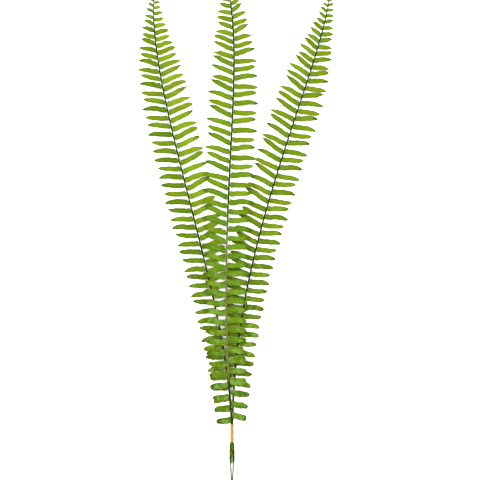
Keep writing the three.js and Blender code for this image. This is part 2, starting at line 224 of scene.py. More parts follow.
class Finish:  # a node material that is put together step by step
    def __init__(self, name):
        self.material = bpy.data.materials.new(name)
        self.material.use_nodes = True
        self.tree = self.material.node_tree
        self.shader = self.tree.nodes["Principled BSDF"]

    def add(self, kind, *sources, **settings):
        node = self.tree.nodes.new("ShaderNode" + kind)
        for key, value in settings.items():
            setattr(node, key, value)
        for position, source in enumerate(sources):
            self.feed(node.inputs[position], source)
        return node

    def feed(self, socket, source):
        if source is None:
            return
        if hasattr(source, "is_output"):
            self.tree.links.new(source, socket)
        else:
            socket.default_value = source

    def sums(self, operation, *sources, clamp=False):
        return self.add("Math", *sources, operation=operation, use_clamp=clamp).outputs[0]

    def scaled(self, source, amount):
        return self.sums("MULTIPLY", source, amount)

    def blend(self, share, low, high):
        node = self.tree.nodes.new("ShaderNodeMix")
        node.data_type = "RGBA"
        self.feed(node.inputs[0], share)
        self.feed(node.inputs[6], low)
        self.feed(node.inputs[7], high)
        return node.outputs[2]

    def ramp(self, source, *stops):
        node = self.add("ValToRGB", source)
        while len(node.color_ramp.elements) < len(stops):
            node.color_ramp.elements.new(0.5)
        for element, (place, color) in zip(node.color_ramp.elements, stops):
            element.position = place
            element.color = color if len(color) == 4 else (*color, 1)
        return node.outputs[0]

    def window(self, source, low, high):  # 0 below low, 1 above high, smooth between
        node = self.add("MapRange", source, low, high, 0.0, 1.0, interpolation_type="SMOOTHSTEP")
        return node.outputs[0]

    def map(self, name):
        parts = self.add("SeparateXYZ", self.add("UVMap", uv_map=name).outputs[0])
        return parts.outputs[0], parts.outputs[1]

    def noise(self, scale, detail=3.0, roughness=0.55, stretch=None):
        place = self.add("TexCoord").outputs["Object"]
        if stretch:
            place = self.add("Mapping", place, None, None, stretch).outputs[0]
        node = self.add("TexNoise")
        self.feed(node.inputs["Vector"], place)
        node.inputs["Scale"].default_value = scale
        node.inputs["Detail"].default_value = detail
        node.inputs["Roughness"].default_value = roughness
        return node.outputs[0]

    def bump(self, height, strength, distance, below=None):
        node = self.add("Bump")
        node.inputs["Strength"].default_value = strength
        node.inputs["Distance"].default_value = distance
        self.feed(node.inputs["Height"], height)
        self.feed(node.inputs["Normal"], below)
        return node.outputs[0]

    def finish(self, color, roughness, normal=None, **fixed):
        self.feed(self.shader.inputs["Base Color"], color)
        self.feed(self.shader.inputs["Roughness"], roughness)
        if normal is not None:
            self.feed(self.shader.inputs["Normal"], normal)
        for name, value in fixed.items():
            self.shader.inputs[name.replace("_", " ")].default_value = value
        return self.material


def paint(red, green, blue):  # a colour as read off a swatch, made linear for the shader
    return tuple(
        (part / 255 / 12.92) if part <= 10 else ((part / 255 + 0.055) / 1.055) ** 2.4
        for part in (red, green, blue)
    ) + (1.0,)


# Leaf finish. Map "blade" is centimetres along and share across, "growth" is share along and underside,
# "tone" is lightness and yellowness, and "place" is share up the frond and chance. Tone and place are the
# same all over one leaflet.
leafFinish = {
    "deep": paint(33, 52, 3),
    "fresh": paint(58, 76, 5),
    "light": paint(79, 96, 11),
    "yellow": paint(80, 87, 3),
    "cool": paint(36, 72, 14),
    "under": paint(74, 90, 38),
    # colour of the painted highlight patches
    "sheenHighlight": paint(88, 116, 56),
    # painted shade along the margins
    "margin": paint(40, 48, 1),
    # painted shade at the tips of some leaflets
    "tipShadeColour": paint(30, 42, 1),
    "oldMargin": paint(84, 90, 10),
    "dryTip": paint(60, 54, 8),
    "veinsPerCm": 8.5,
    "veinLean": 2.1,         # how far a side vein runs forward on its way to the margin
    "cloudContrast": 0.5,    # mottling
    "yellowing": 0.55,       # shares of each tint at its strongest
    "cooling": 0.5,
    "baseCooling": 0.3,
    "veinPaleness": 0.2,
    "midveinPaleness": 0.45,
    # strength of the painted shade along the margins
    "marginPaintedShade": 0.38,
    # strength of the painted shade at the tips
    "tipShadeStrength": 0.75,
    "tipDryness": 0.6,
    "speckle": 0.18,
    # painted sheen: share of the painted highlight patches everywhere
    "paintedSheen": 0.07,
    "paintedSheenOfOld": 0.35,      # added on the lowest leaflets
    "oldMarginShare": 0.5,
    "oldTipShare": 0.75,
    "underPaleness": 0.7,
    "glow": 0.04,            # light let through the blade
}


def leafMaterial():
    f = Finish("frond_leaf_green")
    along, across = f.map("blade")
    share, under = f.map("growth")
    tone, warmth = f.map("tone")
    height, chance = f.map("place")
    old = f.window(height, 0.45, 0.1)
    off = f.sums("ABSOLUTE", across)  # 0 on the midvein, 1 on the margin
    cloud = f.noise(160.0, 4.0)
    speck = f.noise(2200.0, 3.0, 0.6)

    # side veins leave the midvein aslant and fork once halfway to the margin
    spaced = f.scaled(along, leafFinish["veinsPerCm"])
    lean = f.sums("SUBTRACT", spaced, f.scaled(off, leafFinish["veinLean"]))
    wobble = f.sums("ADD", lean, f.scaled(cloud, 0.5))
    single = f.sums("PINGPONG", wobble, 0.5)
    forked = f.sums("PINGPONG", f.scaled(wobble, 2.0), 0.5)
    nearMidvein = f.sums("MULTIPLY", single, f.window(off, 0.6, 0.35))
    nearMargin = f.sums("MULTIPLY", forked, f.window(off, 0.35, 0.6))
    veins = f.scaled(f.sums("ADD", nearMidvein, nearMargin), 2.0)
    veinLine = f.window(veins, 0.68, 0.98)
    midvein = f.window(off, 0.13, 0.03)

    mottle = f.scaled(f.sums("SUBTRACT", cloud, 0.5), leafFinish["cloudContrast"])
    lightness = f.sums("ADD", tone, mottle)
    lightness = f.sums("ADD", lightness, f.scaled(f.window(share, 0.0, 0.55), 0.1), clamp=True)
    green = f.ramp(lightness, (0.0, leafFinish["deep"]), (0.5, leafFinish["fresh"]),
                   (1.0, leafFinish["light"]))

    # every tint: where it shows, how strong it is there, and its colour; the tints on the margins and on the
    # leaflet tips are painted shade
    # painted shade on the ends of the leaflets of low warmth
    tipShade = f.sums("MULTIPLY", f.window(share, 0.68, 0.98), f.window(warmth, 0.66, 0.36))
    tipAge = f.sums("MULTIPLY", f.window(share, 0.9, 1.0), f.window(tone, 0.3, 0.1))
    for where, strength, tint in (
        (f.window(warmth, 0.5, 1.0), "yellowing", "yellow"),
        (f.window(warmth, 0.5, 0.0), "cooling", "cool"),
        (f.window(share, 0.3, 0.0), "baseCooling", "cool"),
        (veinLine, "veinPaleness", "light"),
        (midvein, "midveinPaleness", "light"),
        (f.window(off, 0.72, 1.0), "marginPaintedShade", "margin"),
        (tipShade, "tipShadeStrength", "tipShadeColour"),
        (tipAge, "tipDryness", "dryTip"),
        (f.window(speck, 0.62, 0.75), "speckle", "yellow"),
    ):
        green = f.blend(f.scaled(where, leafFinish[strength]), green, leafFinish[tint])

    # patches of painted highlight (painted sheen), stronger on the lowest leaflets, and on the lowest and
    # oldest leaflets olive margins and dry ends
    sheenPatches = f.window(f.noise(150.0, 3.0), 0.45, 0.62)
    paintedSheen = f.sums("ADD", leafFinish["paintedSheen"], f.scaled(old, leafFinish["paintedSheenOfOld"]))
    green = f.blend(f.sums("MULTIPLY", sheenPatches, paintedSheen), green, leafFinish["sheenHighlight"])
    edges = f.sums("MULTIPLY", f.window(off, 0.6, 1.0), old)
    green = f.blend(f.scaled(edges, leafFinish["oldMarginShare"]), green, leafFinish["oldMargin"])
    ends = f.window(f.sums("ADD", share, f.scaled(cloud, 0.2)), 0.88, 1.06)
    ends = f.sums("MULTIPLY", f.sums("MULTIPLY", ends, old), f.window(chance, 0.25, 0.6))
    green = f.blend(f.scaled(ends, leafFinish["oldTipShare"]), green, leafFinish["dryTip"])
    green = f.blend(f.scaled(under, leafFinish["underPaleness"]), green, leafFinish["under"])

    roughness = f.add("MapRange", f.noise(700.0, 2.0), 0.3, 0.7, 0.4, 0.55).outputs[0]
    ridges = f.sums("ADD", f.scaled(veins, -0.5), f.scaled(midvein, -0.6))
    normal = f.bump(ridges, 0.5, 0.00012, f.bump(speck, 0.25, 0.00005))
    return f.finish(green, roughness, normal, Subsurface_Weight=leafFinish["glow"], Subsurface_Scale=0.001,
                    Subsurface_Radius=(0.6, 1.0, 0.2), Specular_IOR_Level=0.0)


leafGreen = leafMaterial()

# Leaflets, by share of the way from the tape to the tip of the frond
leaflets = {
    "length": growth["leafletLength"],
    "width": 8,
    "pitch": 12,
    "unevenShare": 0.61,     # part of the slot between two leaflets that uneven growth may take up
    "thickness": 0.26,
    "runsPerSide": 8,
    "tipBare": 4,
    "layeredSway": 0.4,      # lift and twist where fronds lie on each other
    "freeSway": 1.5,         # and where a frond lies alone
    "hangShare": 0.2,        # how far a free leaflet hangs, as a share of its length
    "tipCurl": 2.2,          # how far the odd tip stands up again
    "unevenLength": 0.05,
    "unevenWidth": 0.06,
    "unevenTint": 0.22,
    "unevenWarmth": 0.32,
    "pitchShape": [[0, 1.4], [0.12, 1.2], [0.3, 1], [0.65, 1.04], [0.8, 0.88], [0.92, 0.76], [1, 0.5]],
    "lengthShape": [[0, 0.57], [0.07, 0.7], [0.18, 0.81], [0.4, 0.94], [0.5, 1], [0.72, 1],
                    [0.8, 0.89], [0.84, 0.77], [0.87, 0.64], [0.92, 0.42], [1, 0.11]],
    "widthShape": [[0, 1.16], [0.12, 1.08], [0.3, 1], [0.75, 0.97], [0.9, 0.88], [0.96, 0.6], [1, 0.3]],
    "angleShape": [[0, 99], [0.08, 97], [0.22, 88], [0.4, 80], [0.72, 77], [0.85, 68], [1, 60]],
    "bluntShape": [[0, 10], [0.1, 10], [0.2, 9], [0.35, 7.5], [0.7, 7], [0.85, 6], [0.93, 5], [1, 4.5]],
    "gapAtMidrib": 0.06,     # pale gap between the midrib and the base of a blade
    "stalkHalf": 0.3,
    "cornerLength": 1.5,     # rounding of the two corners of the base
    "ear": 0.1,              # lobe on the tipward side of the base, as a share of the width
    "arch": 0.05,            # how far a blade arches in plan, as a share of its length
    "camber": 0.28,          # how far the margins curl down
    "ruffle": 0.5,           # height of the waves along the margins
    "rolledShare": 0.24,     # share of the leaflets whose tip rolls over
    "rolledTurn": 1.15,
    "restingTurn": 0.3,      # of the tips that don't roll over
    "channelDepth": 0.16,    # of the groove over the midvein
    "rows": 34,
    "acrossShares": [-1, -0.82, -0.46, -0.14, 0, 0.14, 0.46, 0.82, 1],
}


def leafletPlace(frond, side, index, at):
    sign = -1 if side == "left" else 1
    seed = frond["layer"] * 2 + (0 if side == "left" else 1)
    share = at / frond["length"]
    middle = midribPoint(frond, at)
    forward = unit(midribDirection(frond, at) * [1, 1, 0])
    outward = np.array([forward[1] * sign, -forward[0] * sign, 0])
    alone = aloneShare(middle[1])
    opened = frond["open"][side] + frond["tipOpen"][side] * smooth(share, 0.75, 0.95)
    unevenTurn = leaflets["unevenShare"] * (leaflets["pitch"] - leaflets["width"]) / leaflets["length"]
    evenAngle = math.radians(readShape(leaflets["angleShape"], share) + opened)
    angle = evenAngle + unevenTurn * uneven(index, seed)
    along = forward * math.cos(angle) + outward * math.sin(angle)
    fullLength = leaflets["length"] * frond["fullness"][side] * readShape(leaflets["lengthShape"], share)
    length = fullLength * (1 + leaflets["unevenLength"] * uneven(index, seed + 7))
    fullWidth = leaflets["width"] * readShape(leaflets["widthShape"], share)
    width = fullWidth * (1 + leaflets["unevenWidth"] * uneven(index, seed + 3))
    overAnother = frond["layer"] == 2 or (frond["layer"] == 1 and side == "right")
    reachesGround = alone if overAnother else 1
    curl = leaflets["tipCurl"] * alone * max(0, uneven(index, seed + 11)) ** 2
    hang = min(middle[2] - 0.25, leaflets["hangShare"] * length)
    tipZ = mix(middle[2] - leaflets["layeredSway"] * 1.5, middle[2] - hang + curl, reachesGround)
    sway = mix(leaflets["layeredSway"], leaflets["freeSway"], alone * min(1, length / leaflets["length"]))
    tint = frond["tint"][side] + leaflets["unevenTint"] * uneven(index, seed + 17)
    warmth = 0.5 + leaflets["unevenWarmth"] * uneven(index, seed + 19)
    return {
        "sign": sign, "index": index, "seed": seed, "share": share, "middle": middle, "forward": forward,
        "outward": outward, "along": along, "across": np.array([-along[1] * sign, along[0] * sign, 0]),
        "length": length, "width": width, "drop": tipZ - middle[2], "radius": midribRadius(frond, at),
        "room": mix(0.5, 1, alone), "bow": unevenTurn * length * uneven(index, seed + 5),
        "lift": sway * 0.5 * uneven(index, seed + 9),
        "twist": math.asin(np.clip(sway * uneven(index, seed + 13) / (width / 2), -0.6, 0.6)),
        "tint": tint + readShape(frond["tintShape"], share),
        "warmth": warmth + readShape(frond["warmthShape"], share),
        "bluntness": frond["bluntness"][side],
        "roundness": mix(0.55, 0.72, smooth(share, 0.02, 0.25)),
    }


def leafletOutline(leaf, u):
    # half widths on the near and the tipward side, for shares along the blade
    index, seed = leaf["index"], leaf["seed"]
    blunt = readShape(leaflets["bluntShape"], leaf["share"]) * leaf["bluntness"] * (
        1 + 0.34 * uneven(index, seed + 23))
    full = np.clip(u, 0, 1)
    body = (1 - 0.05 * full) * np.clip(1 - full ** blunt, 0, 1) ** leaf["roundness"]
    corner = np.clip(full * leaf["length"] / leaflets["cornerLength"], 0, 1)
    rounded = np.sqrt(1 - (1 - corner) ** 2)
    ripple = 0.03 * np.sin(9 * full + index) + 0.02 * np.sin(19 * full + 2 * index)
    teeth = 0.011 * np.where(np.arange(len(u)) % 2 == 0, 1, -1) * (full > 0.06) * (full < 0.93)
    halves = []
    for side in (-1, 1):
        ear = leaflets["ear"] * np.exp(-(((full - 0.05) / 0.07) ** 2)) * (1 if side > 0 else -0.35)
        wide = (0.5 if side > 0 else 0.48) + ear + side * ripple + teeth
        stalk = leaflets["stalkHalf"] / leaf["width"] * (u < 0.02) * (1 - rounded)
        halves.append(stalk + wide * body * rounded)
    return np.maximum(np.array(halves) * leaf["width"], 0.07)


def growLeaflet(leaf):
    # a closed thin blade on a short stalk: points, faces and the four maps
    index, seed, room = leaf["index"], leaf["seed"], leaf["room"]
    offset = leaf["radius"] + leaflets["gapAtMidrib"]
    blade = leaf["length"] - offset
    cornerShare = leaflets["cornerLength"] / leaf["length"]
    bend = np.linspace(0, 1, leaflets["rows"] - 5)
    cornerRows = np.array([0, 0.04, 0.16, 0.38, 0.7]) * cornerShare
    u = np.concatenate([cornerRows, mix(cornerShare, 1, bend ** 0.92)])
    v = np.array(leaflets["acrossShares"])
    near, far = leafletOutline(leaf, u)
    half = np.where(v[None, :] < 0, near[:, None], far[:, None]) * np.abs(v)[None, :]
    reachAcross = np.sign(v)[None, :] * half

    arch = leaflets["arch"] * leaf["length"] * (0.55 + uneven(index, seed + 29))
    centre = (leaf["middle"] + np.outer(blade * u, leaf["along"]) + leaf["outward"] * offset
              + np.outer(leaf["bow"] * u ** 2 + arch * np.sin(math.pi * u) * u ** 0.5, leaf["across"]))
    centre[:, 2] += leaf["drop"] * u ** 2 + leaf["lift"] * np.sin(math.pi * u)

    square = smooth(u, 0, 0.5)[:, None]
    flat = leaf["forward"] * (1 - square) + leaf["across"] * square
    flat /= np.linalg.norm(flat, axis=1)[:, None]
    rolls = abs(uneven(index, seed + 31)) > 1 - leaflets["rolledShare"] * 1.4
    rollTurn = leaflets["rolledTurn"] if rolls else leaflets["restingTurn"]
    roll = rollTurn * np.sign(uneven(index, seed + 31)) * room
    turn = leaf["twist"] * u + roll * smooth(u, 0.45, 1)
    edge = flat * np.cos(turn)[:, None]
    edge[:, 2] = np.sin(turn)
    run = np.gradient(centre, axis=0)
    up = np.cross(run, edge) * leaf["sign"]
    up /= np.linalg.norm(up, axis=1)[:, None]

    # relief: margins curl down, halves fold up a little, and waves run along both margins
    low, high = np.clip(-v, 0, 1), np.clip(v, 0, 1)
    scale = min(1, leaf["width"] / leaflets["width"]) * room
    rise = smooth(u, 0, 0.2) * np.clip(1 - u, 0, 1) ** 0.4
    waveNear = np.sin(2 * math.pi * (1.3 + 0.5 * uneven(index, 3)) * u + 2 * index)
    waveFar = np.sin(2 * math.pi * (1.6 + 0.5 * uneven(index, 5)) * u + 3 * index + 1)
    fold = 0.35 * uneven(index, seed + 37)
    relief = (leaflets["camber"] * (0.35 - v ** 2)[None, :] * rise[:, None]
              + fold * (np.abs(v) - 0.4)[None, :] * rise[:, None]
              + leaflets["ruffle"] * 0.5 * (waveNear * rise)[:, None] * (low ** 2)[None, :]
              + leaflets["ruffle"] * 0.5 * (waveFar * rise)[:, None] * (high ** 2)[None, :]) * scale
    channelAcross = leaflets["channelDepth"] * np.exp(-((v / 0.12) ** 2))
    channelAlong = smooth(u, 0, 0.06) * (1 - u) ** 0.5
    channel = channelAcross[None, :] * channelAlong[:, None] * scale

    middleSheet = (centre[:, None, :] + edge[:, None, :] * reachAcross[:, :, None]
                   + up[:, None, :] * relief[:, :, None])
    thick = leaflets["thickness"] * (1 - 0.45 * v ** 4)[None, :, None] * mix(1, 0.6, u)[:, None, None] / 2
    top = middleSheet + up[:, None, :] * (thick - channel[:, :, None])
    bottom = middleSheet - up[:, None, :] * (thick + 0.7 * channel[:, :, None])

    # the stalk runs from inside the midrib to the base of the blade
    stalkTop, stalkBottom = [], []
    rootRow, baseRow = (leaf["radius"] * 0.6, 0.2, 0.2), (leaf["radius"] + 0.12, 0.2, 0.17)
    for distance, halfWidth, halfThick in (rootRow, baseRow):
        spot = leaf["middle"] + leaf["outward"] * distance
        row = spot + np.outer(v * halfWidth, leaf["forward"])
        bulge = np.sqrt(np.clip(1 - v ** 2, 0.05, 1))[:, None] * halfThick
        stalkTop.append(row + [0, 0, 1] * bulge)
        stalkBottom.append(row - [0, 0, 1] * bulge)
    top = np.concatenate([np.array(stalkTop), top])
    bottom = np.concatenate([np.array(stalkBottom), bottom])

    rows, columns = top.shape[:2]
    points = np.concatenate([top.reshape(-1, 3), bottom.reshape(-1, 3)])
    points[:, 2] = np.maximum(points[:, 2], growth["groundClear"])
    count = rows * columns
    grid = np.arange(count).reshape(rows, columns)
    quads = np.stack([grid[:-1, :-1], grid[1:, :-1], grid[1:, 1:], grid[:-1, 1:]], -1).reshape(-1, 4)
    faces = [quads, (quads + count)[:, ::-1]]
    for line, flip in ((grid[:, 0], False), (grid[:, -1], True), (grid[0], True), (grid[-1], False)):
        rim = np.stack([line[:-1], line[:-1] + count, line[1:] + count, line[1:]], -1)
        faces.append(rim[:, ::-1] if flip else rim)
    faces = np.concatenate(faces)
    if leaf["sign"] < 0:
        faces = faces[:, ::-1]

    shares = np.concatenate([[-0.02, -0.01], u])
    mapAlong = np.repeat(shares * blade / 10, columns)
    mapAcross = np.tile(v, rows)
    blades = np.tile(np.stack([mapAlong, mapAcross], -1), (2, 1))
    grown = np.stack([np.tile(np.repeat(np.clip(shares, 0, 1), columns), 2), np.repeat([0, 1], count)], -1)
    tones = np.tile([leaf["tint"], leaf["warmth"]], (2 * count, 1))
    places = np.tile([leaf["share"], 0.5 + 0.5 * uneven(index, seed + 41)], (2 * count, 1))
    return points, faces, {"blade": blades, "growth": grown, "tone": tones, "place": places}


def joinParts(parts):
    points, faces, maps, start = [], [], {}, 0
    for partPoints, partFaces, partMaps in parts:
        points.append(partPoints)
        faces.append(partFaces + start)
        for name, values in partMaps.items():
            maps.setdefault(name, []).append(values)
        start += len(partPoints)
    return np.concatenate(points), np.concatenate(faces), {n: np.concatenate(m) for n, m in maps.items()}


def leafletDistances(frond, side):
    distances, at = [], frond["firstLeaflet"][side]
    while at < frond["length"] - leaflets["tipBare"]:
        distances.append(at)
        spacing = readShape(leaflets["pitchShape"], at / frond["length"])
        at += leaflets["pitch"] * frond["pitchScale"] * spacing
    return distances


for frond in fronds:
    for side in ("left", "right"):
        distances = leafletDistances(frond, side)
        leaves = [growLeaflet(leafletPlace(frond, side, i, at)) for i, at in enumerate(distances)]
        for run in range(leaflets["runsPerSide"]):
            first = math.floor(run * len(leaves) / leaflets["runsPerSide"] + 0.5)
            last = math.floor((run + 1) * len(leaves) / leaflets["runsPerSide"] + 0.5)
            points, faces, maps = joinParts(leaves[first:last])
            node = f"{frond['name']}_{side}_leaflets_{run + 1}"
            makePiece(f"{node}_blades", points, faces.tolist(), maps, [leafGreen], [node])
    print("leaflets of the", frond["name"].replace("_", " "), "grown")

# Stems and midribs. Skin colours follow one another by share of the way from the cut end to the tip.
midrib = {
    "sides": 14,
    "sectionStep": 1.6,
    "groove": 0.2,           # depth of the groove along the upper side, as a share of the radius
    "grooveHalf": 0.42,      # half width of the groove, as a turn about the midrib
    "grooveRise": [2, 30],   # the groove deepens between these distances
    "knuckle": 0.14,         # swelling where a leaflet is jointed on
    "knuckleLength": 0.9,
    "cutSlant": 1.1,
    "slantLength": 6,
    "tipRound": 1.5,         # length of the rounded tip
    "pithShare": 0.62,
    "pithDepth": 0.12,
    "scaleStep": 3.4,        # spacing of the dry scales that cling to a midrib
    "scaleLength": 2.4,
    "scaleWidth": 0.42,
    "scaleShape": [[0, 0.5, -0.06], [0.3, 1, 0.06], [0.65, 0.7, 0.16], [1, 0.12, 0.34]],  # along, wide, off
    "stemGreen": paint(50, 62, 2),
    "stemPale": paint(84, 92, 3),
    "brown": paint(28, 20, 7),
    "greyTan": paint(80, 80, 44),
    "olive": paint(28, 38, 2),
    "upperOlive": paint(24, 36, 2),
    "streak": paint(56, 58, 22),
    "speck": paint(20, 14, 8),
    "grooveShade": paint(22, 20, 8),
    "skin": {
        "left_frond": [[0, "stemPale"], [0.03, "stemGreen"], [0.09, "olive"], [0.2, "brown"],
                       [0.42, "brown"], [0.58, "olive"], [0.85, "upperOlive"]],
        "right_frond": [[0, "stemPale"], [0.03, "stemGreen"], [0.09, "olive"], [0.16, "brown"],
                        [0.26, "brown"], [0.36, "olive"], [0.85, "upperOlive"]],
        "centre_frond": [[0, "stemPale"], [0.03, "stemGreen"], [0.1, "olive"], [0.15, "brown"],
                         [0.2, "brown"], [0.23, "greyTan"], [0.47, "greyTan"], [0.54, "olive"],
                         [0.9, "upperOlive"]],
    },
}


def midribMaterial(frond):
    # map "run" is the share of the whole stem from its cut end to the tip, and the turn about it
    f = Finish(f"{frond['name']}_stem_skin")
    share, turn = f.map("run")
    streak = f.noise(900.0, 4.0, 0.6, (1.0, 0.12, 1.0))
    speck = f.noise(2600.0, 2.0, 0.6)
    stops = [(place, midrib[swatch]) for place, swatch in midrib["skin"][frond["name"]]]
    color = f.ramp(f.sums("ADD", share, f.scaled(f.sums("SUBTRACT", streak, 0.5), 0.05)), *stops)
    color = f.blend(f.scaled(f.window(streak, 0.45, 0.7), 0.22), color, midrib["streak"])
    color = f.blend(f.scaled(f.window(speck, 0.58, 0.68), 0.45), color, midrib["speck"])
    groove = f.window(f.sums("ABSOLUTE", f.sums("SUBTRACT", turn, 0.25)), 0.075, 0.03)
    color = f.blend(f.scaled(groove, 0.35), color, midrib["grooveShade"])
    roughness = f.sums("ADD", f.scaled(speck, 0.25), 0.6)
    normal = f.bump(streak, 0.5, 0.0001, f.bump(speck, 0.3, 0.00006))
    return f.finish(color, roughness, normal, Specular_IOR_Level=0.0)


def pithMaterial():
    f = Finish("cut_pith")
    grain = f.noise(2400.0, 3.0)
    color = f.ramp(grain, (0.3, paint(104, 98, 52)), (0.7, paint(150, 144, 96)))
    return f.finish(color, 0.75, f.bump(grain, 0.4, 0.0001), Specular_IOR_Level=0.0)


def scaleMaterial():
    f = Finish("dry_scales")
    grain = f.noise(1800.0, 3.0)
    color = f.ramp(grain, (0.3, paint(26, 18, 10)), (0.7, paint(54, 42, 26)))
    return f.finish(color, 0.7, f.bump(grain, 0.3, 0.0001), Specular_IOR_Level=0.0)


def stemShare(frond, at):
    below = growth["tapeWidth"] + growth["cutLength"]
    return (at + below) / (frond["length"] + below)


def growMidrib(frond, joints):
    # one tube from the slanting cut to the rounded end, grooved above and swollen at every joint
    start = -growth["tapeWidth"] - growth["cutLength"]
    spots = np.arange(start, frond["length"] - midrib["tipRound"], midrib["sectionStep"])
    tipSpots = frond["length"] - np.array([midrib["tipRound"], 1, 0.6, 0.3, 0.1])
    spots = np.unique(np.concatenate([spots, joints, tipSpots]))
    turns = np.linspace(0, 2 * math.pi, midrib["sides"], endpoint=False)
    points, runs = [], []
    for at in spots:
        middle, forward = midribPoint(frond, at), midribDirection(frond, at)
        across = unit(np.cross([0, 0, 1], forward))
        up = np.cross(forward, across)
        knuckles = np.sum(np.exp(-(((at - joints) / midrib["knuckleLength"]) ** 2)))
        swell = midrib["knuckle"] * knuckles if at > 0 else 0
        end = math.sqrt(max(0.02, 1 - (1 - min(1, (frond["length"] - at) / midrib["tipRound"])) ** 2))
        grooved = midrib["groove"] * smooth(at, *midrib["grooveRise"])
        groove = grooved * np.exp(-(((turns - math.pi / 2) / midrib["grooveHalf"]) ** 2))
        radius = midribRadius(frond, at) * end * (
            1 + swell * np.abs(np.cos(turns)) - groove
            + 0.02 * np.sin(3 * turns + at * 0.21) + 0.015 * np.sin(5 * turns - at * 0.37))
        ring = middle + np.outer(radius * np.cos(turns), across) + np.outer(radius * np.sin(turns), up)
        if at < start + midrib["slantLength"]:  # the cut end slants
            fading = 1 - (at - start) / midrib["slantLength"]
            ring[:, 1] += midrib["cutSlant"] * np.cos(turns + frond["layer"]) * fading
        points.append(ring)
        runs.append(np.stack([np.full(len(turns), stemShare(frond, at)), turns / (2 * math.pi)], -1))
    sides, count = midrib["sides"], len(spots)
    faces, kinds = [], []
    for ring in range(count - 1):
        for side in range(sides):
            here, beside = ring * sides + side, ring * sides + (side + 1) % sides
            faces.append([here, here + sides, beside + sides, beside])
            kinds.append(0)
    # cut face with a paler pith in the middle, and a closed tip
    cut = points[0]
    inner = mix(cut.mean(axis=0), cut, midrib["pithShare"]) + [0, midrib["pithDepth"], 0]
    points.append(inner)
    runs.append(np.stack([np.zeros(sides), turns / (2 * math.pi)], -1))
    base = count * sides
    for side in range(sides):
        beside = (side + 1) % sides
        faces.append([side, beside, base + beside, base + side])
        kinds.append(1)
    faces.append([base + side for side in range(sides)])
    kinds.append(1)
    faces.append([(count - 1) * sides + side for side in range(sides)][::-1])
    kinds.append(0)
    return np.concatenate(points), faces, np.concatenate(runs), kinds


def growScales(frond):
    # dry scales lie along the upper half of the midrib
    allPoints, allFaces, allRuns = [], [], []
    count = int(frond["length"] * 0.8 / midrib["scaleStep"])
    for index in range(count):
        at = 3 + index * midrib["scaleStep"] * (1 + 0.2 * uneven(index, 41))
        middle, forward = midribPoint(frond, at), midribDirection(frond, at)
        across = unit(np.cross([0, 0, 1], forward))
        up = np.cross(forward, across)
        turn = math.pi / 2 + 1.15 * uneven(index, 43)
        out = across * math.cos(turn) + up * math.sin(turn)
        side = -across * math.sin(turn) + up * math.cos(turn)
        lean = unit(forward + 0.45 * uneven(index, 47) * side)
        length = midrib["scaleLength"] * (1 + 0.35 * uneven(index, 53))
        radius = midribRadius(frond, at)
        first = sum(len(p) for p in allPoints)
        rows = []
        for share, wide, off in midrib["scaleShape"]:
            spot = middle + out * (radius + off) + lean * length * share
            half = midrib["scaleWidth"] * wide / 2
            flank = unit(np.cross(out, lean)) * half
            rows += [spot - flank, spot + out * 0.07, spot + flank, spot - out * 0.05]
        allPoints.append(np.array(rows))
        for row in range(3):
            for k in range(4):
                a, b = first + row * 4 + k, first + row * 4 + (k + 1) % 4
                allFaces.append([a, a + 4, b + 4, b])
        allFaces.append([first + k for k in range(4)])
        allFaces.append([first + 12 + k for k in (3, 2, 1, 0)])
        allRuns.append(np.tile([stemShare(frond, at), 0.6], (16, 1)))
    return np.concatenate(allPoints), allFaces, np.concatenate(allRuns)


pith, dryScales = pithMaterial(), scaleMaterial()
for frond in fronds:
    skin = midribMaterial(frond)
    joints = np.array(leafletDistances(frond, "left") + leafletDistances(frond, "right"))
    points, faces, runs, kinds = growMidrib(frond, joints)
    scalePoints, scaleFaces, scaleRuns = growScales(frond)
    faces += [[corner + len(points) for corner in face] for face in scaleFaces]
    kinds += [2] * len(scaleFaces)
    node = f"{frond['name']}_midrib"
    makePiece(f"{node}_stem", np.concatenate([points, scalePoints]), faces,
              {"run": np.concatenate([runs, scaleRuns])}, [skin, pith, dryScales], [node], kinds)
print("stems and midribs made")

# Small basal leaflets, pressed in overlapping rows round the outer side of each stem
basal = {
    "stretch": 29,
    "rows": 8,
    "length": 5.6,
    "width": 3.0,
    "laneTurn": {"side": 0.5, "top": 0.8},  # of the two lanes, on the lower stems and on the top one
    "crown": 0.22,           # how far the middle of a blade stands up
    "halfThick": 0.13,
    "deep": paint(22, 38, 2),
    "green": paint(68, 92, 6),
}


def basalMaterial():
    f = Finish("basal_leaf_green")
    along, across = f.map("blade")
    share, tone = f.map("growth")[0], f.map("tone")[0]
    cloud = f.noise(500.0, 4.0)
    lightness = f.sums("ADD", tone, f.scaled(f.sums("SUBTRACT", cloud, 0.5), 0.9), clamp=True)
    color = f.ramp(lightness, (0.15, basal["deep"]), (0.85, basal["green"]))
    color = f.blend(f.window(f.sums("ABSOLUTE", across), 0.2, 0.04), color, basal["green"])
    color = f.blend(f.scaled(f.window(share, 0.7, 1.0), 0.5), color, leafFinish["fresh"])
    lines = f.sums("PINGPONG", f.scaled(along, 14.0), 0.5)
    normal = f.bump(lines, 0.4, 0.0001, f.bump(cloud, 0.3, 0.0001))
    return f.finish(color, 0.5, normal, Specular_IOR_Level=0.0)


